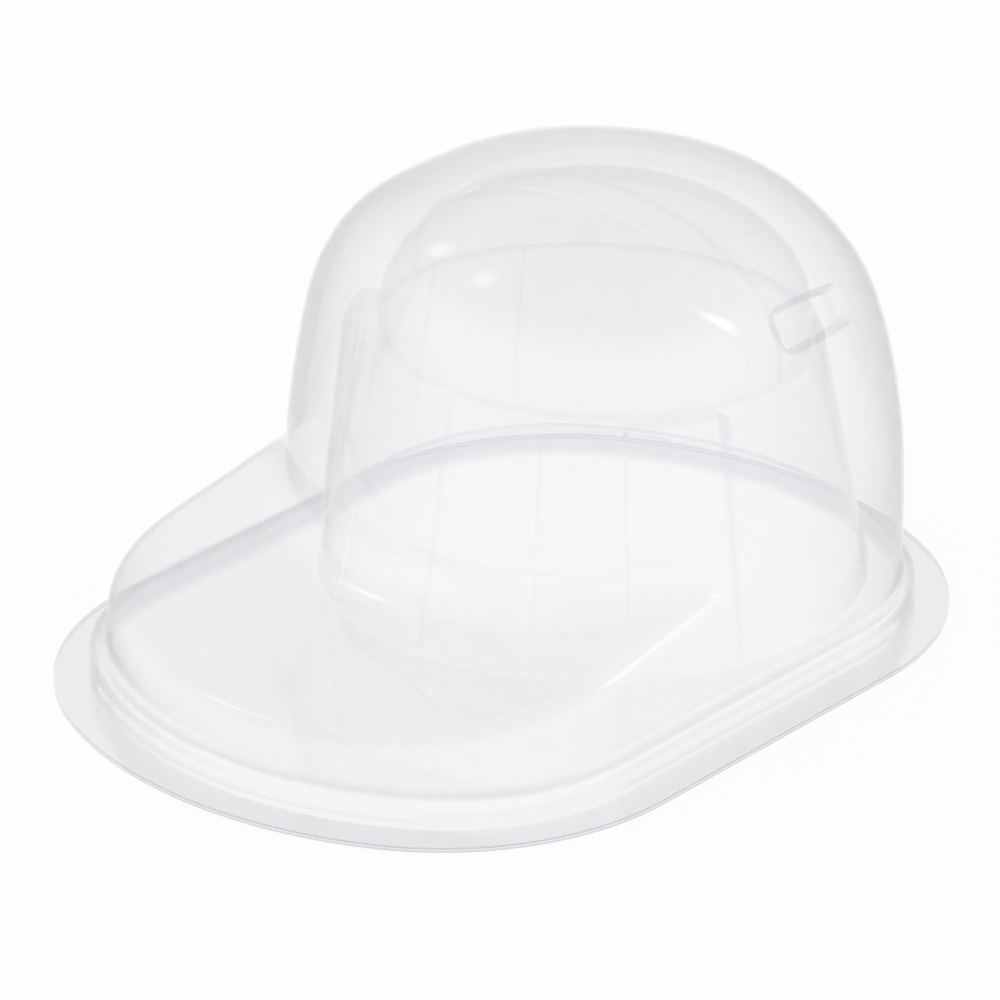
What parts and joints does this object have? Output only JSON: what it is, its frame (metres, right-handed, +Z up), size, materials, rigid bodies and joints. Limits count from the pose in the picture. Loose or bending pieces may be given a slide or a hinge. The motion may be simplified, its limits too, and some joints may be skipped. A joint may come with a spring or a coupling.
{
  "type": "cap display case",
  "caption": "Clear moulded case for a peaked cap: a tray with a hollow head former under a cap-shaped cover that lifts off.",
  "frame": {"origin": "middle of the flange's length and width, on the surface the case stands on", "axes": "+Z up, -Y towards the peak end, +Y towards the crown end, +X to the wearer's left"},
  "size_m": [0.2178, 0.2934, 0.1495],
  "materials": {
    "cover_sheet": "clear, glossy",
    "tray_sheet": "clear, glossy"
  },
  "bodies": {
    "tray": {"tray": "tray_sheet"},
    "cover": {"cover": "cover_sheet"}
  },
  "joints": [
    {"name": "cover_lift", "type": "slide", "parent": "tray", "child": "cover", "axis": [0, 0, 1], "range_m": [0, 0.15]}
  ]
}
